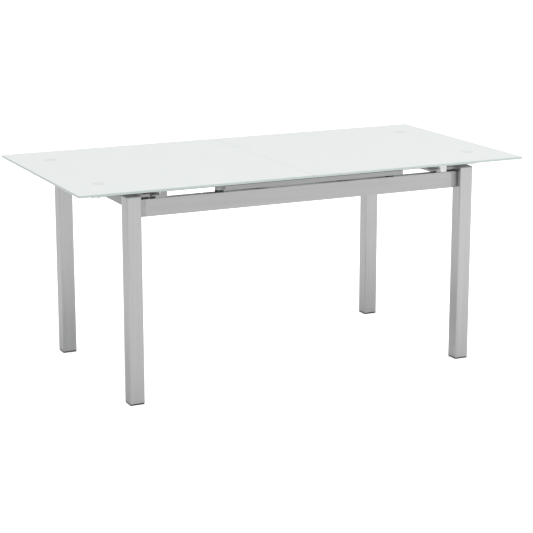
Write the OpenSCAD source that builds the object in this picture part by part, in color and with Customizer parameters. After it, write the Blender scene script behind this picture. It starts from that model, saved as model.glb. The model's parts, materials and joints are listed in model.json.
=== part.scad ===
// Extendable dining table: two frosted glass halves slide apart on flat steel arms,
// and a spare glass leaf in a steel edge frame lies stored under the middle.
// Origin: centre of the footprint, on the floor. +X along the table, -Y is the front, +Z up.

/* [Table top] */
// Length of the closed top, along X
top_length = 1700; // [1660:5:1800]
// Width of the top, along Y
top_width = 850; // [820:5:880]
// Thickness of the glass
glass_thick = 8; // [6:1:10]
// Height of the top surface above the floor
table_height = 750; // [720:5:780]
// Radius of the glass corners, seen from above
glass_corner = 6; // [3:1:15]

/* [Frame] */
// Overall length over the legs, along X
frame_length = 1336; // [1320:2:1360]
// Overall width over the legs, along Y
frame_width = 750; // [730:2:770]
// Side of the square leg tube
leg_side = 52; // [48:1:56]
// Wall of the leg tube
leg_wall = 1.5; // [1.2:0.1:2.5]
// Height of the long aprons
long_apron_height = 60; // [52:1:70]
// Height of the end aprons
end_apron_height = 32; // [28:1:40]
// Thickness of all four aprons
apron_thick = 25; // [22:1:28]
// Wall of the aprons, the cross bars and the arms
tube_wall = 1.5; // [1.2:0.1:2]

/* [Extension] */
// Travel of each half of the top
half_travel = 343; // [320:1:346]
// Distance of each cross bar from the middle
cross_bar_x = 543; // [540:1:546]
// Distance of the arms from the centre line
arm_y = 250; // [200:1:270]
// Width of an arm
arm_width = 40; // [30:1:44]
// Height of an arm
arm_height = 12; // [10:1:12]
// Distance of the bonded glass discs from the middle
disc_x = 720; // [710:1:740]

/* [Stored leaf] */
// Length of the leaf along X
leaf_length = 684; // [630:2:688]
// Thickness of the leaf with its edge frame
leaf_thick = 16; // [14:1:17]

/* [Hidden] */
$fn = 48;

FRONT = -1;
REAR = 1;
LEFT = -1;
RIGHT = 1;
SIDES = [-1, 1];

// Gaps between pieces that slide on each other, and inside fitted tubes
slide_gap = 0.3;
fit_gap = 0.2;

// Legs, their top caps and foot glides
leg_x = frame_length / 2 - leg_side / 2;
leg_y = frame_width / 2 - leg_side / 2;
leg_inner_x = frame_length / 2 - leg_side;
leg_inner_y = frame_width / 2 - leg_side;
leg_corner = 3;
leg_top = table_height - 29;
cap_thick = 3;
cap_spigot = 20;
glide_height = 5;
glide_inset = 0.5;
glide_spigot = 22;
spigot_wall = 3;
spigot_corner = 1.2;

// Aprons stand back from the legs' outer faces
apron_top = table_height - 45;
apron_setback = 22;
apron_face_y = frame_width / 2 - apron_setback;
apron_face_x = frame_length / 2 - apron_setback;
long_apron_y = apron_face_y - apron_thick / 2;
end_apron_x = apron_face_x - apron_thick / 2;
apron_corner = 2;
fitting_neck = 5;
fitting_neck_inset = 4;
fitting_collar = 24;
fitting_spigot = 30;
end_fitting_flange = 3;
end_fitting_length = 32;
plug_corner = 1;

// Bolts, heads inside the legs
bolt_radius = 4;
bolt_hole_radius = 4.1;
bolt_head_radius = 6.5;
bolt_head_height = 8;
bolt_reach = 24;
long_bolt_heights = [apron_top - 50, apron_top - 32];
end_bolt_height = apron_top - 16;

// Cross bars bridge the long aprons and guide the arms. Each is a tall tube with a low tube
// welded along its left side, and both bars lie the same way round.
glass_bottom = table_height - glass_thick;
bar_width = 24;
bar_top = glass_bottom - 4;
bar_height = bar_top - apron_top;
low_bar_width = 32;
low_bar_height = 11;
both_widths = bar_width + low_bar_width;
tall_shift = low_bar_width / 2;
low_shift = -bar_width / 2;
bar_cap_thick = 3;
bar_plug_depth = 3;
end_bumper = [12, 3, 7];
end_bumper_inset = 1;
bar_screw_radius = 3;
bar_screw_hole_radius = 3.1;
bar_screw_head_radius = 5.5;
bar_screw_head_height = 3.5;
bar_screw_depth = 16;

// Arms and their guides
arm_bottom = apron_top + 2;
arm_top = arm_bottom + arm_height;
arm_inner_x = 115;
arm_outer_x = disc_x + 30;
arm_corner = 1.5;
arm_cap_thick = 2;
arm_cap_spigot = 12;
guide_side = 2.7;
guide_overhang = 1;
guide_top = arm_top + slide_gap + guide_side;
notch_width = arm_width + 2 * (slide_gap + guide_side);
arm_rest_margin = 5;

// The tie bar carries the bumpers that stop the arms against the cross bar
bumper_thick = 6;
bumper_size = [bumper_thick, 14, 8];
bumper_y = 150;
stop_gap = 0.5;
bumper_outer_x = cross_bar_x - both_widths / 2 - half_travel - stop_gap;
tie_width = 30;
tie_outer_x = bumper_outer_x - bumper_thick;

// Discs bonded under the glass, each on a post screwed to an arm
disc_radius = 22.5;
disc_thick = 6;
post_radius = 11;
disc_screw_radius = 3;
disc_screw_hole_radius = 3.1;
disc_screw_head_radius = 6;
disc_screw_head_height = 4;
disc_screw_bite = 3;
disc_hole_depth = disc_screw_bite + 1;
seam_gap = 0.8;

// Nylon strips over the tops and left sides of the tall tubes carry the sliding glass
strip_side = 3;

// Short steel brackets between the cross bars and the legs
bracket_height = 11;
bracket_depth = 16;
bracket_setback = 6;
bracket_corner = 1.5;
bracket_gap = 2.5;
spacer_height = 5;
spacer_inset = 5;
bracket_inner_x = cross_bar_x + both_widths / 2 + bracket_gap;

// Stored leaf, a little to the right of the middle, on two-part rests at its ends
leaf_shift = 10;
leaf_top = glass_bottom - 2.5;
leaf_bottom = leaf_top - leaf_thick;
leaf_width = top_width - 10;
leaf_glass_bottom = leaf_top - glass_thick;
edge_wall = 3;
edge_ledge = 20;
support_bar_x = 165;
support_bar_width = 40;
rest_pad = [24, 22, 7.5];
rest_block_height = leaf_bottom - slide_gap - apron_top - rest_pad[2];
rest_pad_x = leaf_length / 2 - rest_pad[0] / 2;
leaf_bumper = [18, 10, 2];
leaf_bumper_inset = 2;
side_bumper_inset = 40;

// ---------- shared shapes ----------

// Flat rectangle with round corners, centred
module rounded_rectangle(size, radius) {
    square([size[0] - 2 * radius, size[1]], center = true);
    square([size[0], size[1] - 2 * radius], center = true);
    for (sx = SIDES, sy = SIDES)
        translate([sx * (size[0] / 2 - radius), sy * (size[1] / 2 - radius)]) circle(r = radius);
}

// Hollow rectangular tube along Z, its foot at the origin
module tube(size, wall, radius, length) {
    linear_extrude(length) difference() {
        rounded_rectangle(size, radius);
        rounded_rectangle([size[0] - 2 * wall, size[1] - 2 * wall], max(radius - wall, 0.5));
    }
}

// Turns a shape that stands along Z so that it runs along +X, keeping its own Y
module along_x() { rotate([0, 90, 0]) children(); }

// Turns a shape that stands along Z so that it runs along +Y, keeping its own X
module along_y() { rotate([-90, 0, 0]) children(); }

// Places a piece made for the right rear at either end and either side
module on_side(sx, sy) {
    mirror([sx < 0 ? 1 : 0, 0, 0]) mirror([0, sy < 0 ? 1 : 0, 0]) children();
}

// Copies a piece made at the right rear to all four corners
module at_four_corners() { for (sx = SIDES, sy = SIDES) on_side(sx, sy) children(); }

// Bolt along +Z: head below the origin, shank above it
module bolt(shank_radius, head_radius, head_height, reach) {
    cylinder(r = shank_radius, h = reach);
    translate([0, 0, -head_height]) difference() {
        cylinder(r = head_radius, h = head_height);
        translate([0, 0, -1]) cylinder(r = head_radius * 0.5, h = head_height * 0.5 + 1, $fn = 6);
    }
}

// ---------- legs and aprons ----------

// Axes of the bolts at the right rear leg: long apron ones run along -X, the end one along -Y
module long_bolt_places() {
    for (z = long_bolt_heights)
        translate([leg_inner_x + leg_wall, long_apron_y, z]) rotate([0, -90, 0]) children();
}
module end_bolt_place() {
    translate([end_apron_x, leg_inner_y + leg_wall, end_bolt_height]) rotate([90, 0, 0]) children();
}

module leg(sx, sy) {
    color("silver") on_side(sx, sy) difference() {
        translate([leg_x, leg_y, glide_height])
            tube([leg_side, leg_side], leg_wall, leg_corner, leg_top - cap_thick - glide_height);
        long_bolt_places() translate([0, 0, -1]) cylinder(r = bolt_hole_radius, h = leg_wall + 2);
        end_bolt_place() translate([0, 0, -1]) cylinder(r = bolt_hole_radius, h = leg_wall + 2);
    }
}

module leg_caps() {
    inner = leg_side - 2 * leg_wall - 2 * fit_gap;
    color("dimgray") at_four_corners() translate([leg_x, leg_y, 0]) {
        translate([0, 0, leg_top - cap_thick]) linear_extrude(cap_thick)
            rounded_rectangle([leg_side, leg_side], leg_corner);
        translate([0, 0, leg_top - cap_thick - cap_spigot])
            tube([inner, inner], spigot_wall, spigot_corner, cap_spigot);
    }
}

module foot_glides() {
    inner = leg_side - 2 * leg_wall - 2 * fit_gap;
    outer = leg_side - 2 * glide_inset;
    color("#262626") at_four_corners() translate([leg_x, leg_y, 0]) {
        linear_extrude(glide_height) rounded_rectangle([outer, outer], leg_corner);
        translate([0, 0, glide_height]) tube([inner, inner], spigot_wall, spigot_corner, glide_spigot);
    }
}

// Axis of the screw that holds one end of a cross bar, pointing down
module bar_screw_place(sx, sy) {
    translate([sx * cross_bar_x + tall_shift, sy * long_apron_y, apron_top + tube_wall])
        rotate([180, 0, 0]) children();
}

module long_apron(sy) {
    half = leg_inner_x - fitting_collar;
    color("silver") difference() {
        translate([-half, sy * long_apron_y, apron_top - long_apron_height / 2])
            along_x() tube([long_apron_height, apron_thick], tube_wall, apron_corner, 2 * half);
        for (sx = SIDES) bar_screw_place(sx, sy)
            cylinder(r = bar_screw_hole_radius, h = 2 * tube_wall + 1);
    }
}

module end_apron(sx) {
    half = leg_inner_y - end_fitting_flange;
    color("silver") translate([sx * end_apron_x, -half, apron_top - end_apron_height / 2])
        along_y() tube([apron_thick, end_apron_height], tube_wall, apron_corner, 2 * half);
}

// Each has a thin neck at the leg, which leaves a shadow gap beside it
module long_apron_fittings() {
    neck = [long_apron_height - 2 * fitting_neck_inset, apron_thick - 2 * fitting_neck_inset];
    inner = [long_apron_height - 2 * (tube_wall + fit_gap), apron_thick - 2 * (tube_wall + fit_gap)];
    color("gainsboro") at_four_corners() difference() {
        translate([leg_inner_x, long_apron_y, apron_top - long_apron_height / 2]) rotate([0, -90, 0]) {
            linear_extrude(fitting_neck) rounded_rectangle(neck, plug_corner);
            translate([0, 0, fitting_neck]) {
                linear_extrude(fitting_collar - fitting_neck)
                    rounded_rectangle([long_apron_height, apron_thick], apron_corner);
                linear_extrude(fitting_collar - fitting_neck + fitting_spigot)
                    rounded_rectangle(inner, plug_corner);
            }
        }
        long_bolt_places() cylinder(r = bolt_hole_radius, h = bolt_reach + 2);
    }
}

module end_apron_fittings() {
    inner = [apron_thick - 2 * (tube_wall + fit_gap), end_apron_height - 2 * (tube_wall + fit_gap)];
    color("gainsboro") at_four_corners() difference() {
        translate([end_apron_x, leg_inner_y, apron_top - end_apron_height / 2]) rotate([90, 0, 0]) {
            linear_extrude(end_fitting_flange)
                rounded_rectangle([apron_thick, end_apron_height], apron_corner);
            linear_extrude(end_fitting_length) rounded_rectangle(inner, plug_corner);
        }
        end_bolt_place() cylinder(r = bolt_hole_radius, h = bolt_reach + 2);
    }
}

module apron_bolts() {
    color("gray") at_four_corners() {
        long_bolt_places() bolt(bolt_radius, bolt_head_radius, bolt_head_height, bolt_reach);
        end_bolt_place() bolt(bolt_radius, bolt_head_radius, bolt_head_height, bolt_reach);
    }
}

// ---------- cross bars, guides and slide strips ----------

// Clears the space that the arm guides take out of a cross bar
module guide_notches(sx) {
    for (sy = SIDES)
        translate([sx * cross_bar_x - both_widths, sy * arm_y - notch_width / 2, apron_top - 1])
            cube([2 * both_widths, notch_width, guide_top - apron_top + 1]);
}

module cross_bar(sx) {
    half = apron_face_y - bar_cap_thick;
    color("silver") difference() {
        translate([sx * cross_bar_x, -half, apron_top]) {
            translate([tall_shift, 0, bar_height / 2])
                along_y() tube([bar_width, bar_height], tube_wall, apron_corner, 2 * half);
            translate([low_shift, 0, low_bar_height / 2])
                along_y() tube([low_bar_width, low_bar_height], tube_wall, apron_corner, 2 * half);
        }
        guide_notches(sx);
        for (sy = SIDES) bar_screw_place(sx, sy)
            cylinder(r = bar_screw_hole_radius, h = tube_wall + 1);
    }
}

// Cap and plug that close one tube of a cross bar, shifted along X from the middle of the bar
module bar_end_cap(sx, sy, shift, size) {
    inner = [size[0] - 2 * (tube_wall + fit_gap), size[1] - 2 * (tube_wall + fit_gap)];
    translate([sx * cross_bar_x + shift, sy * apron_face_y, apron_top + size[1] / 2])
        rotate([sy * 90, 0, 0]) {
            linear_extrude(bar_cap_thick) rounded_rectangle(size, apron_corner);
            linear_extrude(bar_cap_thick + bar_plug_depth) rounded_rectangle(inner, plug_corner);
        }
}

module cross_bar_caps() {
    color("darkgray") for (sy = SIDES) {
        bar_end_cap(LEFT, sy, tall_shift, [bar_width, bar_height]);
        for (sx = SIDES) bar_end_cap(sx, sy, low_shift, [low_bar_width - slide_gap, low_bar_height]);
    }
}

module right_bar_end_blocks() {
    color("whitesmoke") for (sy = SIDES) bar_end_cap(RIGHT, sy, tall_shift, [bar_width, bar_height]);
}

module cross_bar_screws() {
    color("gray") for (sx = SIDES, sy = SIDES) bar_screw_place(sx, sy)
        bolt(bar_screw_radius, bar_screw_head_radius, bar_screw_head_height, bar_screw_depth);
}

module bar_end_bumpers() {
    color("#262626") for (sx = SIDES, sy = SIDES)
        translate([sx * cross_bar_x - both_widths / 2 + end_bumper_inset,
                   sy > 0 ? apron_face_y : -apron_face_y - end_bumper[1], apron_top]) cube(end_bumper);
}

module arm_guides(sx) {
    hole = [arm_width + 2 * slide_gap, arm_height + 2 * slide_gap];
    length = both_widths + 2 * guide_overhang;
    color("whitesmoke") for (sy = SIDES)
        translate([sx * cross_bar_x - length / 2, sy * arm_y, 0]) difference() {
            translate([0, -notch_width / 2, apron_top])
                cube([length, notch_width, guide_top - apron_top]);
            translate([-1, -hole[0] / 2, arm_bottom - slide_gap])
                cube([length + 2, hole[0], hole[1]]);
        }
}

module arm_rest_pads() {
    pad = [apron_thick, arm_width + 2 * arm_rest_margin, arm_bottom - slide_gap - apron_top];
    color("whitesmoke") at_four_corners()
        translate([end_apron_x - apron_thick / 2, arm_y - pad[1] / 2, apron_top]) cube(pad);
}

module glass_slide_strips() {
    side_height = bar_height - low_bar_height;
    top_thick = glass_bottom - slide_gap - bar_top;
    color("whitesmoke") for (sx = SIDES) difference() {
        translate([sx * cross_bar_x - strip_side + tall_shift - bar_width / 2, -apron_face_y,
                   bar_top - side_height]) {
            cube([strip_side, 2 * apron_face_y, side_height]);
            translate([0, 0, side_height])
                cube([strip_side + bar_width, 2 * apron_face_y, top_thick]);
        }
        guide_notches(sx);
    }
}

module bracket(sx, sy) {
    length = leg_inner_x - bracket_inner_x;
    y = apron_face_y - bracket_setback - bracket_depth / 2;
    z = apron_top + spacer_height + bracket_height / 2;
    color("silver") on_side(sx, sy) translate([bracket_inner_x, y, z])
        along_x() tube([bracket_height, bracket_depth], tube_wall, bracket_corner, length);
}

module bracket_spacers() {
    length = leg_inner_x - bracket_inner_x - 2 * spacer_inset;
    color("#262626") at_four_corners()
        translate([bracket_inner_x + spacer_inset,
                   apron_face_y - bracket_setback - bracket_depth, apron_top])
            cube([length, bracket_depth, spacer_height]);
}

// Copies a rest made at the right rear to both ends of the leaf and both aprons
module under_leaf() { translate([leaf_shift, 0, 0]) at_four_corners() children(); }

module leaf_rest_pads() {
    color("#262626") under_leaf()
        translate([rest_pad_x - rest_pad[0] / 2, apron_face_y - rest_pad[1], apron_top]) cube(rest_pad);
}

module leaf_rest_blocks() {
    color("darkgray") under_leaf()
        translate([rest_pad_x - rest_pad[0] / 2, apron_face_y - rest_pad[1], apron_top + rest_pad[2]])
            cube([rest_pad[0], rest_pad[1], rest_block_height]);
}

// ---------- one sliding half of the top ----------

module glass_half(sx) {
    length = top_length / 2 - seam_gap / 2;
    color("#eef4f2") on_side(sx, REAR) translate([seam_gap / 2, 0, glass_bottom])
        linear_extrude(glass_thick) {
            translate([0, -top_width / 2]) square([length - glass_corner, top_width]);
            translate([0, glass_corner - top_width / 2]) square([length, top_width - 2 * glass_corner]);
            for (sy = SIDES)
                translate([length - glass_corner, sy * (top_width / 2 - glass_corner)])
                    circle(r = glass_corner);
        }
}

module disc_screw_hole() {
    cylinder(r = disc_screw_hole_radius, h = 4 * arm_height, center = true);
}

module arm(sx, sy) {
    color("silver") on_side(sx, sy) difference() {
        translate([arm_inner_x, arm_y, arm_bottom + arm_height / 2])
            along_x() tube([arm_height, arm_width], tube_wall, arm_corner, arm_outer_x - arm_inner_x);
        translate([disc_x, arm_y, arm_bottom]) disc_screw_hole();
    }
}

module tie_bar(sx) {
    depth = 2 * arm_y - arm_width;
    color("silver") on_side(sx, REAR)
        translate([tie_outer_x - tie_width / 2, -depth / 2, arm_bottom + arm_height / 2])
            along_y() tube([tie_width, arm_height], tube_wall, arm_corner, depth);
}

module arm_caps(sx) {
    inner = [arm_height - 2 * (tube_wall + fit_gap), arm_width - 2 * (tube_wall + fit_gap)];
    z = arm_bottom + arm_height / 2;
    color("#262626") for (sy = SIDES) on_side(sx, sy) {
        translate([arm_outer_x, arm_y, z]) along_x() {
            linear_extrude(arm_cap_thick) rounded_rectangle([arm_height, arm_width], arm_corner);
            translate([0, 0, -arm_cap_spigot])
                linear_extrude(arm_cap_spigot) rounded_rectangle(inner, plug_corner);
        }
        translate([arm_inner_x - arm_cap_thick, arm_y, z]) along_x() {
            linear_extrude(arm_cap_thick) rounded_rectangle([arm_height, arm_width], arm_corner);
            linear_extrude(arm_cap_thick + arm_cap_spigot) rounded_rectangle(inner, plug_corner);
        }
    }
}

module glass_discs(sx) {
    color("gainsboro") for (sy = SIDES) on_side(sx, sy)
        translate([disc_x, arm_y, glass_bottom - disc_thick]) difference() {
            cylinder(r = disc_radius, h = disc_thick);
            translate([0, 0, -1]) cylinder(r = disc_screw_hole_radius, h = disc_hole_depth + 1);
        }
}

module disc_posts(sx) {
    color("silver") for (sy = SIDES) on_side(sx, sy)
        translate([disc_x, arm_y, arm_top]) difference() {
            cylinder(r = post_radius, h = glass_bottom - disc_thick - arm_top);
            disc_screw_hole();
        }
}

module disc_screws(sx) {
    color("gray") for (sy = SIDES) on_side(sx, sy) translate([disc_x, arm_y, arm_bottom])
        bolt(disc_screw_radius, disc_screw_head_radius, disc_screw_head_height,
             glass_bottom - disc_thick - arm_bottom + disc_screw_bite);
}

module stop_bumpers(sx) {
    color("#262626") for (sy = SIDES) on_side(sx, sy)
        translate([tie_outer_x, bumper_y - bumper_size[1] / 2,
                   arm_bottom + (arm_height - bumper_size[2]) / 2]) cube(bumper_size);
}

// ---------- stored leaf ----------

// Shifts a piece made about the middle to where the leaf lies
module in_leaf() { translate([leaf_shift, 0, 0]) children(); }

module leaf_glass() {
    size = [leaf_length - 2 * edge_wall, leaf_width - 2 * edge_wall];
    color("#eef4f2") translate([-size[0] / 2, -size[1] / 2, leaf_glass_bottom])
        cube([size[0], size[1], glass_thick]);
}

// Edge angle: an upright wall outside the glass, and a ledge that the glass lies on
module leaf_long_edge(sy) {
    color("silver") on_side(RIGHT, sy) {
        translate([-leaf_length / 2, leaf_width / 2 - edge_wall, leaf_bottom])
            cube([leaf_length, edge_wall, leaf_thick]);
        translate([-leaf_length / 2 + edge_wall, leaf_width / 2 - edge_wall - edge_ledge, leaf_bottom])
            cube([leaf_length - 2 * edge_wall, edge_ledge, leaf_thick - glass_thick]);
    }
}

module leaf_side_edge(sx) {
    wall_depth = leaf_width - 2 * edge_wall;
    ledge_depth = wall_depth - 2 * edge_ledge;
    color("silver") on_side(sx, REAR) {
        translate([leaf_length / 2 - edge_wall, -wall_depth / 2, leaf_bottom])
            cube([edge_wall, wall_depth, leaf_thick]);
        translate([leaf_length / 2 - edge_wall - edge_ledge, -ledge_depth / 2, leaf_bottom])
            cube([edge_ledge, ledge_depth, leaf_thick - glass_thick]);
    }
}

module leaf_support_bars() {
    depth = leaf_width - 2 * edge_wall - 2 * edge_ledge;
    color("silver") for (sx = SIDES)
        translate([sx * support_bar_x - support_bar_width / 2, -depth / 2, leaf_bottom])
            cube([support_bar_width, depth, leaf_thick - glass_thick]);
}

module leaf_bumpers() {
    color("#262626") {
        for (sy = SIDES)
            translate([-leaf_bumper[0] / 2,
                       sy * (leaf_width / 2 - leaf_bumper_inset - leaf_bumper[1] / 2) - leaf_bumper[1] / 2,
                       leaf_top]) cube(leaf_bumper);
        for (sx = SIDES)
            translate([sx * (leaf_length / 2 - side_bumper_inset), 0, leaf_top])
                cylinder(r = leaf_bumper[1] / 2, h = leaf_bumper[2]);
    }
}

// ---------- nodes ----------

leg(LEFT, FRONT);  // front_left_leg
leg(RIGHT, FRONT);  // front_right_leg
leg(LEFT, REAR);  // rear_left_leg
leg(RIGHT, REAR);  // rear_right_leg
leg_caps();
foot_glides();
long_apron(FRONT);  // front_apron
long_apron(REAR);  // rear_apron
end_apron(LEFT);  // left_end_apron
end_apron(RIGHT);  // right_end_apron
long_apron_fittings();
end_apron_fittings();
apron_bolts();
cross_bar(LEFT);  // left_cross_bar
cross_bar(RIGHT);  // right_cross_bar
cross_bar_caps();
right_bar_end_blocks();
cross_bar_screws();
bar_end_bumpers();
arm_guides(LEFT);  // left_arm_guides
arm_guides(RIGHT);  // right_arm_guides
arm_rest_pads();
glass_slide_strips();
bracket(LEFT, FRONT);  // front_left_bracket
bracket(RIGHT, FRONT);  // front_right_bracket
bracket(LEFT, REAR);  // rear_left_bracket
bracket(RIGHT, REAR);  // rear_right_bracket
bracket_spacers();
leaf_rest_pads();
leaf_rest_blocks();
glass_half(LEFT);  // left_glass
arm(LEFT, FRONT);  // left_front_arm
arm(LEFT, REAR);  // left_rear_arm
tie_bar(LEFT);  // left_tie_bar
arm_caps(LEFT);  // left_arm_caps
glass_discs(LEFT);  // left_glass_discs
disc_posts(LEFT);  // left_disc_posts
disc_screws(LEFT);  // left_disc_screws
stop_bumpers(LEFT);  // left_stop_bumpers
glass_half(RIGHT);  // right_glass
arm(RIGHT, FRONT);  // right_front_arm
arm(RIGHT, REAR);  // right_rear_arm
tie_bar(RIGHT);  // right_tie_bar
arm_caps(RIGHT);  // right_arm_caps
glass_discs(RIGHT);  // right_glass_discs
disc_posts(RIGHT);  // right_disc_posts
disc_screws(RIGHT);  // right_disc_screws
stop_bumpers(RIGHT);  // right_stop_bumpers
in_leaf() leaf_glass();
in_leaf() leaf_long_edge(FRONT);  // leaf_front_edge
in_leaf() leaf_long_edge(REAR);  // leaf_rear_edge
in_leaf() leaf_side_edge(LEFT);  // leaf_left_edge
in_leaf() leaf_side_edge(RIGHT);  // leaf_right_edge
in_leaf() leaf_support_bars();
in_leaf() leaf_bumpers();
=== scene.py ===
"""Looks for the extendable dining table.

Brushed steel, frosted glass, nylon and rubber on the CAD frame, with its weld beads and leaf seal.
"""

import json
import math

import bmesh
import bpy
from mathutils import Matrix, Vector


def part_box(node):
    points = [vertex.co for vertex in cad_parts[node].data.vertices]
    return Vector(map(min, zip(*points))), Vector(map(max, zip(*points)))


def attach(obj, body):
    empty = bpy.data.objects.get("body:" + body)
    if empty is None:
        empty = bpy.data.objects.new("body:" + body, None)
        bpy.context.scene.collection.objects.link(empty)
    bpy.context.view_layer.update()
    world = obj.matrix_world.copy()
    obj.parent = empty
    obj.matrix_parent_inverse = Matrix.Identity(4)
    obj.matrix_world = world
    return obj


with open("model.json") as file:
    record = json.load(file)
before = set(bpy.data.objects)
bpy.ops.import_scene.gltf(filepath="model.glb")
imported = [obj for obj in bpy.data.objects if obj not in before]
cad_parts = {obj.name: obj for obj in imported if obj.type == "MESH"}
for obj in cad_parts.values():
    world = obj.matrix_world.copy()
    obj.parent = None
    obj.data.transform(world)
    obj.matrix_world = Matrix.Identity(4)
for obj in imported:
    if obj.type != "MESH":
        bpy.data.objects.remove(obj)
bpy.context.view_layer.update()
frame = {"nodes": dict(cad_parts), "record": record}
NODES = frame["nodes"]
SLOT_OF = {part["node"]: part["material_slot"] for part in frame["record"]["subparts"]}

MM = 0.001

# Camera, in metres, degrees and millimetres of lens: far off, a little above the front left corner
CAMERA_PLACE = (-2.6233, -5.5533, 1.8315)
CAMERA_TURN = 25.457
CAMERA_DROP = 13.694
CAMERA_LENS = 115.4
SENSOR_WIDTH = 36.0
VIEW_DEPTH = 200.0

# What lights the table and what the camera sees of the pale surroundings
WORLD_LIGHT = 0.76
WORLD_SEEN = 1.0
OVERHEAD_LIGHT = 1.15
OVERHEAD_SPREAD = 80
OVERHEAD_PLACE = (0.0, 0.0, 4.0)
OVERHEAD_AIM = (-0.15, 0.25, -1.0)
FRONT_POWER = 24
FRONT_SIZE = (1.8, 1.4)
FRONT_PLACE = (2.4, -3.2, 1.8)
FRONT_AIM = (-0.5, 0.6, -1.6)

FLOOR_HALF = 40.0
FLOOR_DROP = 0.4 * MM
FLOOR_GLOW = 0.6
FLOOR_TONES = ((0.8, 0.8, 0.8), (0.82, 0.82, 0.82))
FLOOR_SPECKLE = 30.0

# Rounding of the CAD edges
ROUND_STEPS = 2
SHARP_ANGLE = 50
MERGE_WITHIN = 0.01 * MM

# Beads of weld and seal
BEAD_SIDES = 8
TAPER_RINGS = 2
TAPER_START = 0.15
MITRE_LEAST = 0.5
WELD_PITCH = 1.4 * MM
WELD_STEPS_LEAST = 4
WELD_WIDTH = 1.8 * MM
WELD_HEIGHT = 1.1 * MM
WELD_INSET = 2.0 * MM
WELD_RIPPLE = 0.1
STITCHES = 6
STITCH_HALF = 14 * MM
STITCH_RISE = 0.5 * MM
SEAL_WIDTH = 0.9 * MM
SEAL_HEIGHT = 0.4 * MM
SEAL_SINK = 0.1 * MM
LOW_TUBE_WIDTH = 32 * MM

# Streaks of brushed steel: noise cells per metre across and along the grain, and share of the colour
STEEL_HAIRS = (1500.0, 10.0)
STEEL_BANDS = (110.0, 1.6)
STEEL_SMEARS = (14.0, 3.0)
HAIR_SHARE = 0.5
BAND_SHARE = 0.35
SMEAR_SHARE = 0.15

# Grain and the darkest and lightest streak of each brushed steel
BRUSHED_STEELS = {
    "leg_steel": ("Z", (0.505, 0.51, 0.508), (0.575, 0.578, 0.575)),
    "apron_steel": ("X", (0.48, 0.48, 0.482), (0.54, 0.54, 0.542)),
    # end aprons: the apron steel made darker, painted shade from the glass above them
    "end_apron_steel_painted_shade": ("Y", (0.31, 0.31, 0.31), (0.36, 0.36, 0.358)),
    # brackets: the apron steel made darker, painted shade where they sit under the glass beside the legs
    "bracket_steel_painted_shade": ("X", (0.32, 0.32, 0.315), (0.38, 0.38, 0.375)),
    "bar_steel": ("Y", (0.36, 0.365, 0.365), (0.42, 0.425, 0.42)),
    "leaf_steel": ("X", (0.36, 0.365, 0.36), (0.415, 0.42, 0.415)),
}

# White coated glass, its polished green edge, and the marks of the bonded discs
GLASS_TOP = (0.735, 0.765, 0.752)
GLASS_UNDER = (0.79, 0.815, 0.805)
GLASS_EDGE = (0.6, 0.665, 0.64)
GLASS_EDGE_CORE = (0.47, 0.555, 0.525)
GLASS_MARK = (0.655, 0.682, 0.67)
GLASS_CLOUD = 1.012
MARK_SOFTNESS = 3 * MM
EDGE_POLISH = -0.28
EDGE_ALL = 0.35
EDGE_NONE = 0.8

RING_PITCH = 0.5 * MM

# Nodes whose grain differs from their slot's usual one, and the brackets and end aprons, which take a
# darker copy of the apron steel as painted shade
OWN_GRAIN_AND_PAINTED_SHADE = {
    "front_left_bracket": "bracket_steel_painted_shade",
    "front_right_bracket": "bracket_steel_painted_shade",
    "rear_left_bracket": "bracket_steel_painted_shade",
    "rear_right_bracket": "bracket_steel_painted_shade",
    "left_end_apron": "end_apron_steel_painted_shade",
    "right_end_apron": "end_apron_steel_painted_shade",
    "leaf_left_edge": "bar_steel",
    "leaf_right_edge": "bar_steel",
    "leaf_support_bars": "bar_steel",
}

# Rounding of the CAD edges, in millimetres, by slot
EDGE_ROUND = {
    "frosted_glass": 0.9,
    "nylon": 0.5,
    "black_rubber": 0.5,
    "black_plastic": 0.4,
    "leg_cap": 0.6,
    "leg_steel": 0.3,
    "apron_steel": 0.3,
    "bar_steel": 0.3,
    "leaf_steel": 0.4,
    "arm_steel": 0.3,
    "fitting_metal": 0.3,
    "disc_metal": 0.4,
    "bolt_steel": 0.25,
}


# ---------- node helpers ----------


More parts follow.
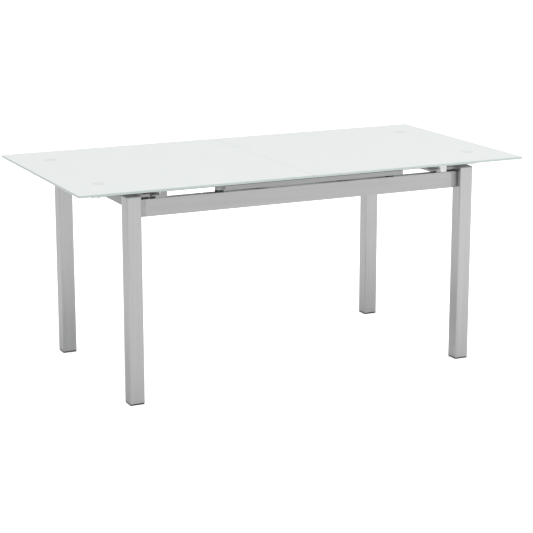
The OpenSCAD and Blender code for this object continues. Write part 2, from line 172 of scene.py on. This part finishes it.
class Nodes:
    """A material's node tree, with short calls for the nodes used here."""

    def __init__(self, name):
        self.material = bpy.data.materials.new(name)
        self.material.use_nodes = True
        self.tree = self.material.node_tree
        self.shader = self.tree.nodes["Principled BSDF"]
        self.output = self.tree.nodes["Material Output"]

    def make(self, kind, **values):
        node = self.tree.nodes.new(kind)
        for name, value in values.items():
            setattr(node, name, value)
        return node

    def link(self, source, target):
        self.tree.links.new(source, target)

    def colour(self, source):
        self.link(source, self.shader.inputs["Base Color"])

    def roughness(self, source):
        self.link(source, self.shader.inputs["Roughness"])

    def place(self, scale=(1, 1, 1)):
        """Object coordinates, which are the CAD frame in metres, times scale."""
        coordinates = self.make("ShaderNodeTexCoord")
        mapping = self.make("ShaderNodeMapping")
        mapping.inputs["Scale"].default_value = scale
        self.link(coordinates.outputs["Object"], mapping.inputs["Vector"])
        return mapping.outputs["Vector"]

    def axes(self, vector):
        """The outputs X, Y and Z of a vector."""
        node = self.make("ShaderNodeSeparateXYZ")
        self.link(vector, node.inputs["Vector"])
        return node.outputs

    def noise(self, scale, detail=3.0, roughness=0.5):
        """Noise in the CAD frame; scale is one number or three, in cells per metre."""
        scales = scale if isinstance(scale, tuple) else (scale,) * 3
        node = self.make("ShaderNodeTexNoise")
        node.inputs["Scale"].default_value = 1.0
        node.inputs["Detail"].default_value = detail
        node.inputs["Roughness"].default_value = roughness
        self.link(self.place(scales), node.inputs["Vector"])
        return node.outputs["Fac"]

    def spread(self, source, low, high, start=0.3, end=0.7):
        """source from start..end mapped to low..high."""
        node = self.make("ShaderNodeMapRange")
        node.inputs["From Min"].default_value = start
        node.inputs["From Max"].default_value = end
        node.inputs["To Min"].default_value = low
        node.inputs["To Max"].default_value = high
        self.link(source, node.inputs["Value"])
        return node.outputs["Result"]

    def math(self, operation, *sources):
        node = self.make("ShaderNodeMath", operation=operation)
        for socket, source in zip(node.inputs, sources):
            if isinstance(source, (int, float)):
                socket.default_value = source
            else:
                self.link(source, socket)
        return node.outputs["Value"]

    def mix(self, factor, first, second):
        """Mixes two colours, each a tuple or a socket."""
        node = self.make("ShaderNodeMix", data_type="RGBA")
        self.link(factor, node.inputs["Factor"])
        for name, source in (("A", first), ("B", second)):
            socket = next(s for s in node.inputs if s.name == name and s.type == "RGBA")
            if isinstance(source, tuple):
                socket.default_value = (*source, 1.0)
            else:
                self.link(source, socket)
        return next(s for s in node.outputs if s.type == "RGBA")

    def from_discs(self, axes, centre):
        """Distance from the upright axis of the nearest bonded disc, at (+-x, +-y)."""
        squares = []
        for axis, middle in zip("XY", centre):
            away = self.math("SUBTRACT", self.math("ABSOLUTE", axes[axis]), middle)
            squares.append(self.math("MULTIPLY", away, away))
        return self.math("SQRT", self.math("ADD", *squares))

    def bump(self, height, strength, distance):
        node = self.make("ShaderNodeBump")
        node.inputs["Strength"].default_value = strength
        node.inputs["Distance"].default_value = distance
        self.link(height, node.inputs["Height"])
        self.link(node.outputs["Normal"], self.shader.inputs["Normal"])

    def set(self, **values):
        for name, value in values.items():
            self.shader.inputs[name.replace("_", " ")].default_value = value


def shade(colour, factor):
    return tuple(min(1.0, factor * part) for part in colour)


def disc_layout():
    """Centre (x, y) of a bonded disc, taken as positive, and its radius."""
    low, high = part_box("left_glass_discs")
    radius = (high.x - low.x) / 2
    return (abs(low.x + high.x) / 2, high.y - radius), radius


# ---------- materials ----------


def brushed_steel(name, grain, dark, light):
    """Steel brushed along grain, "X", "Y" or "Z": hair-fine streaks over slow bands."""
    n = Nodes(name)
    along = "XYZ".index(grain)

    def streaks(cells, **values):
        across, lengthwise = cells
        return n.noise(tuple(lengthwise if axis == along else across for axis in range(3)), **values)

    hairs = streaks(STEEL_HAIRS, detail=4.0, roughness=0.6)
    bands = streaks(STEEL_BANDS, detail=2.0)
    smears = streaks(STEEL_SMEARS)
    mixed = n.math("ADD", n.math("MULTIPLY", hairs, HAIR_SHARE), n.math("MULTIPLY", bands, BAND_SHARE))
    mixed = n.math("ADD", mixed, n.math("MULTIPLY", smears, SMEAR_SHARE))
    n.colour(n.mix(n.spread(mixed, 0.0, 1.0, 0.36, 0.64), dark, light))
    scuffs = n.math("ADD", n.math("MULTIPLY", hairs, 0.6), n.math("MULTIPLY", smears, 0.4))
    n.roughness(n.spread(scuffs, 0.3, 0.42))
    n.bump(hairs, 0.12, 0.05 * MM)
    tangent = n.make("ShaderNodeTangent", direction_type="RADIAL", axis=grain)
    n.link(tangent.outputs["Tangent"], n.shader.inputs["Tangent"])
    n.set(Metallic=1.0, Anisotropic=0.55)
    return n.material


def powder_coat(name, colour):
    """Silver powder coat with a fine orange peel and metal flake."""
    n = Nodes(name)
    flakes = n.noise(6000.0, detail=1.0)
    peel = n.noise(700.0, detail=2.0)
    n.colour(n.mix(n.spread(flakes, 0.0, 1.0, 0.35, 0.65), shade(colour, 0.86), colour))
    n.roughness(n.spread(peel, 0.36, 0.5))
    n.bump(peel, 0.25, 0.06 * MM)
    n.set(Metallic=0.75)
    return n.material


def cast_metal(name, colour, grain=1800.0):
    """Satin cast or plated metal: fine blasted texture with slow stains."""
    n = Nodes(name)
    blast = n.noise(grain)
    stains = n.noise(60.0)
    n.colour(n.mix(n.spread(stains, 0.0, 1.0), shade(colour, 0.82), colour))
    n.roughness(n.spread(blast, 0.34, 0.52))
    n.bump(blast, 0.2, 0.04 * MM)
    n.set(Metallic=1.0)
    return n.material


def turned_metal(name, colour):
    """Aluminium discs turned on a lathe: rings round each disc's axis."""
    n = Nodes(name)
    centre, _ = disc_layout()
    radius = n.from_discs(n.axes(n.place()), centre)
    rings = n.math("SINE", n.math("MULTIPLY", radius, 2 * math.pi / RING_PITCH))
    n.colour(n.mix(n.spread(rings, 0.0, 1.0, -1.0, 1.0), shade(colour, 0.9), colour))
    n.roughness(n.spread(n.noise(900.0), 0.26, 0.4))
    n.bump(rings, 0.15, 0.03 * MM)
    n.set(Metallic=1.0)
    return n.material


def moulded(name, colour, roughness, grain, depth, lighter=1.35):
    """Moulded plastic or rubber with a fine texture and slightly paler rub marks; gives its Nodes."""
    n = Nodes(name)
    texture = n.noise(grain, detail=2.0)
    rubs = n.noise(45.0, detail=4.0, roughness=0.65)
    n.colour(n.mix(n.spread(rubs, 0.0, 1.0, 0.45, 0.75), colour, shade(colour, lighter)))
    n.roughness(n.spread(texture, roughness - 0.07, roughness + 0.07))
    n.bump(texture, 0.35, depth)
    return n


def nylon():
    """Natural nylon: waxy, off-white, and slightly see-through at the edges."""
    n = moulded("nylon", (0.9, 0.91, 0.895), 0.42, 1400.0, 0.05 * MM, lighter=1.04)
    n.set(Subsurface_Weight=0.35, Subsurface_Radius=(0.004, 0.004, 0.0035), Subsurface_Scale=1.0)
    return n.material


def glass_coat(n, axes, facing, bottom):
    """Colour of the coated faces: faint clouds, a paler underside, and soft marks of the discs."""
    clouds = n.noise(5.0)
    coat = n.mix(n.spread(clouds, 0.0, 1.0), GLASS_TOP, shade(GLASS_TOP, GLASS_CLOUD))
    coat = n.mix(n.math("LESS_THAN", facing, 0.0), coat, GLASS_UNDER)
    centre, radius = disc_layout()
    away = n.from_discs(axes, centre)
    disc = n.spread(away, 1.0, 0.0, radius - MARK_SOFTNESS, radius + MARK_SOFTNESS)
    above = n.math("GREATER_THAN", axes["Z"], bottom)
    return n.mix(n.math("MULTIPLY", disc, above), coat, GLASS_MARK)


def glass_edge(n, axes, bottom, top):
    """Colour of the polished edge, deeper green half way up."""
    off_middle = n.math("ABSOLUTE", n.math("SUBTRACT", axes["Z"], (bottom + top) / 2))
    core = n.spread(off_middle, 1.0, 0.0, 0.0, (top - bottom) / 2)
    return n.mix(core, GLASS_EDGE, GLASS_EDGE_CORE)


def frosted_glass():
    """White coated glass: satin faces and a polished green edge."""
    n = Nodes("frosted_glass")
    low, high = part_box("left_glass")
    axes = n.axes(n.place())
    facing = n.axes(n.make("ShaderNodeNewGeometry").outputs["Normal"])["Z"]
    is_edge = n.spread(n.math("ABSOLUTE", facing), 1.0, 0.0, EDGE_ALL, EDGE_NONE)
    n.colour(n.mix(is_edge, glass_coat(n, axes, facing, low.z), glass_edge(n, axes, low.z, high.z)))
    etch = n.noise(2600.0, detail=2.0)
    n.roughness(n.math("ADD", n.math("MULTIPLY", is_edge, EDGE_POLISH), n.spread(etch, 0.34, 0.44)))
    n.bump(etch, 0.05, 0.02 * MM)
    n.set(IOR=1.52)
    return n.material


def make_materials():
    black = (0.022, 0.022, 0.024)
    made = {name: brushed_steel(name, *look) for name, look in BRUSHED_STEELS.items()}
    made["arm_steel"] = powder_coat("arm_steel", (0.52, 0.53, 0.53))
    made["leg_cap"] = moulded("leg_cap", (0.22, 0.22, 0.22), 0.5, 1500.0, 0.08 * MM, 1.2).material
    made["black_plastic"] = moulded("black_plastic", black, 0.5, 1600.0, 0.1 * MM).material
    made["black_rubber"] = moulded("black_rubber", (0.04, 0.04, 0.04), 0.78, 900.0, 0.12 * MM, 1.6).material
    made["fitting_metal"] = cast_metal("fitting_metal", (0.48, 0.485, 0.48))
    made["bolt_steel"] = cast_metal("bolt_steel", (0.5, 0.5, 0.49), grain=2500.0)
    made["nylon"] = nylon()
    made["frosted_glass"] = frosted_glass()
    made["disc_metal"] = turned_metal("disc_metal", (0.58, 0.59, 0.59))
    return made


def dress_nodes(materials):
    """Gives each CAD node its material and rounds its sharp edges."""
    for name, node in NODES.items():
        slot = SLOT_OF[name]
        material = materials[OWN_GRAIN_AND_PAINTED_SHADE.get(name, slot)]
        if not node.material_slots:
            node.data.materials.append(None)
        for holder in node.material_slots:
            holder.link = "OBJECT"
            holder.material = material
        weld = node.modifiers.new("weld", "WELD")
        weld.merge_threshold = MERGE_WITHIN
        bevel = node.modifiers.new("round", "BEVEL")
        bevel.width = EDGE_ROUND[slot] * MM
        bevel.segments = ROUND_STEPS
        bevel.limit_method = "ANGLE"
        bevel.angle_limit = math.radians(SHARP_ANGLE)
        bevel.harden_normals = False


# ---------- added pieces ----------


def add_piece(name, mesh, body, material):
    """Turns a bmesh into a smooth object that rides on a body."""
    bmesh.ops.recalc_face_normals(mesh, faces=mesh.faces)
    data = bpy.data.meshes.new(name)
    mesh.to_mesh(data)
    mesh.free()
    for face in data.polygons:
        face.use_smooth = True
    data.materials.append(material)
    piece = bpy.data.objects.new(name, data)
    bpy.context.scene.collection.objects.link(piece)
    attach(piece, body)


def sideways_at(corners, index, closed):
    """Level direction across the path at a corner, longer where the path turns, as in a mitre."""
    count = len(corners)
    here = corners[index]
    before = corners[index - 1] if closed or index else here
    after = corners[(index + 1) % count] if closed or index < count - 1 else here
    incoming, outgoing = here - before, after - here
    incoming = (incoming if incoming.length else outgoing).normalized()
    outgoing = (outgoing if outgoing.length else incoming).normalized()
    along = (incoming + outgoing).normalized()
    stretch = 1.0 / max(MITRE_LEAST, along.dot(outgoing))
    return Vector((-along.y, along.x, 0.0)) * stretch


def swell_at(index, count, ripple):
    """Size of an open bead at a ring: thin at its two ends, and rippled between them."""
    taper = min(index, count - 1 - index) / TAPER_RINGS
    fullness = math.sqrt(min(1.0, TAPER_START + (1.0 - TAPER_START) * taper))
    return fullness * (1.0 + ripple * math.cos(index * math.pi))


def sweep(name, path, section, body, material, closed=False, ripple=0.0):
    """Bead of elliptic section along a level path; ripple makes it a weld bead.

    The section is (half width, half height).
    """
    corners = [Vector(point) for point in path]
    count = len(corners)
    half_width, half_height = section
    mesh = bmesh.new()
    rings = []
    for index, here in enumerate(corners):
        sideways = sideways_at(corners, index, closed)
        swell = 1.0 if closed else swell_at(index, count, ripple)
        ring = []
        for step in range(BEAD_SIDES):
            turn = 2 * math.pi * step / BEAD_SIDES
            offset = sideways * (half_width * math.cos(turn)) + Vector((0, 0, half_height * math.sin(turn)))
            ring.append(mesh.verts.new(here + offset * swell))
        rings.append(ring)
    joins = count if closed else count - 1
    for index in range(joins):
        first, second = rings[index], rings[(index + 1) % count]
        for step in range(BEAD_SIDES):
            ahead = (step + 1) % BEAD_SIDES
            mesh.faces.new((first[step], second[step], second[ahead], first[ahead]))
    if not closed:
        mesh.faces.new(rings[0])
        mesh.faces.new(list(reversed(rings[-1])))
    add_piece(name, mesh, body, material)


def weld_bead(name, start, end, body, material):
    """Straight weld bead with a ripple at each weld pitch."""
    start, end = Vector(start), Vector(end)
    steps = max(WELD_STEPS_LEAST, round((end - start).length / WELD_PITCH))
    path = [start.lerp(end, index / steps) for index in range(steps + 1)]
    sweep(name, path, (WELD_WIDTH, WELD_HEIGHT), body, material, ripple=WELD_RIPPLE)


def make_tie_welds(material):
    """Beads where each tie bar meets its two arms, above and below."""
    for side in ("left", "right"):
        low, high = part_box(side + "_tie_bar")
        for place, z in (("top", high.z), ("bottom", low.z)):
            for end, y in (("front", low.y), ("rear", high.y)):
                name = "weld_%s_%s_%s" % (side, end, place)
                start = (low.x + WELD_INSET, y, z)
                finish = (high.x - WELD_INSET, y, z)
                weld_bead(name, start, finish, side + "_top", material)


def make_bar_welds(material):
    """Stitch welds that join the low tube to the tall tube of each cross bar, from below."""
    for side in ("left", "right"):
        low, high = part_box(side + "_cross_bar")
        x = low.x + LOW_TUBE_WIDTH
        z = low.z + STITCH_RISE
        for stitch in range(STITCHES):
            middle = low.y + (high.y - low.y) * (stitch + 0.5) / STITCHES
            name = "weld_%s_bar_%d" % (side, stitch)
            start = (x, middle - STITCH_HALF, z)
            finish = (x, middle + STITCH_HALF, z)
            weld_bead(name, start, finish, "frame", material)


def make_leaf_seal(material):
    """Thin seal over the joint between the leaf's glass and its steel edge."""
    low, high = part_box("leaf_glass")
    z = high.z - SEAL_SINK
    path = [(low.x, low.y, z), (high.x, low.y, z), (high.x, high.y, z), (low.x, high.y, z)]
    section = (SEAL_WIDTH, SEAL_HEIGHT)
    sweep("leaf_seal", path, section, "leaf", material, closed=True)


# ---------- stage, lights and camera ----------


def floor_material():
    """Pale floor that glows a little for the camera.

    It is clear from below, so that the table's underside can be seen.
    """
    n = Nodes("floor")
    n.colour(n.mix(n.spread(n.noise(FLOOR_SPECKLE, detail=4.0), 0.0, 1.0), *FLOOR_TONES))
    n.set(Roughness=0.9, Specular_IOR_Level=0.1)
    glow = n.make("ShaderNodeEmission")
    glow.inputs["Strength"].default_value = FLOOR_GLOW
    lit = n.make("ShaderNodeAddShader")
    n.link(n.shader.outputs["BSDF"], lit.inputs[0])
    n.link(glow.outputs["Emission"], lit.inputs[1])
    side = n.make("ShaderNodeNewGeometry")
    clear = n.make("ShaderNodeBsdfTransparent")
    seen = n.make("ShaderNodeMixShader")
    n.link(side.outputs["Backfacing"], seen.inputs["Fac"])
    n.link(lit.outputs["Shader"], seen.inputs[1])
    n.link(clear.outputs["BSDF"], seen.inputs[2])
    path = n.make("ShaderNodeLightPath")
    shown = n.make("ShaderNodeMixShader")
    n.link(path.outputs["Is Camera Ray"], shown.inputs["Fac"])
    n.link(n.shader.outputs["BSDF"], shown.inputs[1])
    n.link(seen.outputs["Shader"], shown.inputs[2])
    n.link(shown.outputs["Shader"], n.output.inputs["Surface"])
    return n.material


def make_floor():
    mesh = bpy.data.meshes.new("floor")
    quarters = ((-1, -1), (1, -1), (1, 1), (-1, 1))
    corners = [(x * FLOOR_HALF, y * FLOOR_HALF, -FLOOR_DROP) for x, y in quarters]
    mesh.from_pydata(corners, [], [(0, 1, 2, 3)])
    mesh.materials.append(floor_material())
    floor = bpy.data.objects.new("floor", mesh)
    bpy.context.scene.collection.objects.link(floor)


def make_world():
    """White surroundings that light the table less brightly than the camera sees them."""
    world = bpy.data.worlds.new("studio")
    world.use_nodes = True
    tree = world.node_tree
    background = tree.nodes["Background"]
    background.inputs["Color"].default_value = (1.0, 1.0, 1.0, 1.0)
    path = tree.nodes.new("ShaderNodeLightPath")
    strength = tree.nodes.new("ShaderNodeMapRange")
    strength.inputs["To Min"].default_value = WORLD_LIGHT
    strength.inputs["To Max"].default_value = WORLD_SEEN
    tree.links.new(path.outputs["Is Camera Ray"], strength.inputs["Value"])
    tree.links.new(strength.outputs["Result"], background.inputs["Strength"])
    bpy.context.scene.world = world


def add_lamp(light, place, aim):
    """Puts a light at place, shining along aim, unseen by the camera and in reflections."""
    lamp = bpy.data.objects.new(light.name, light)
    lamp.location = place
    lamp.rotation_euler = Vector(aim).to_track_quat("-Z", "Y").to_euler()
    lamp.visible_camera = False
    lamp.visible_glossy = False
    bpy.context.scene.collection.objects.link(lamp)


def make_lamps():
    overhead = bpy.data.lights.new("overhead", "SUN")
    overhead.angle = math.radians(OVERHEAD_SPREAD)
    overhead.energy = OVERHEAD_LIGHT
    add_lamp(overhead, OVERHEAD_PLACE, OVERHEAD_AIM)
    front = bpy.data.lights.new("front_right", "AREA")
    front.shape = "RECTANGLE"
    front.size, front.size_y = FRONT_SIZE
    front.energy = FRONT_POWER
    add_lamp(front, FRONT_PLACE, FRONT_AIM)


def make_camera():
    camera = bpy.data.cameras.new("camera")
    camera.lens = CAMERA_LENS
    camera.sensor_width = SENSOR_WIDTH
    camera.clip_end = VIEW_DEPTH
    holder = bpy.data.objects.new("camera", camera)
    holder.location = CAMERA_PLACE
    holder.rotation_euler = (math.radians(90 - CAMERA_DROP), 0.0, math.radians(-CAMERA_TURN))
    bpy.context.scene.collection.objects.link(holder)
    bpy.context.scene.camera = holder


bpy.context.scene.view_settings.view_transform = "Standard"
make_camera()
make_world()
make_lamps()
make_floor()
materials = make_materials()
dress_nodes(materials)
make_tie_welds(materials["arm_steel"])
make_bar_welds(materials["bar_steel"])
make_leaf_seal(materials["black_rubber"])
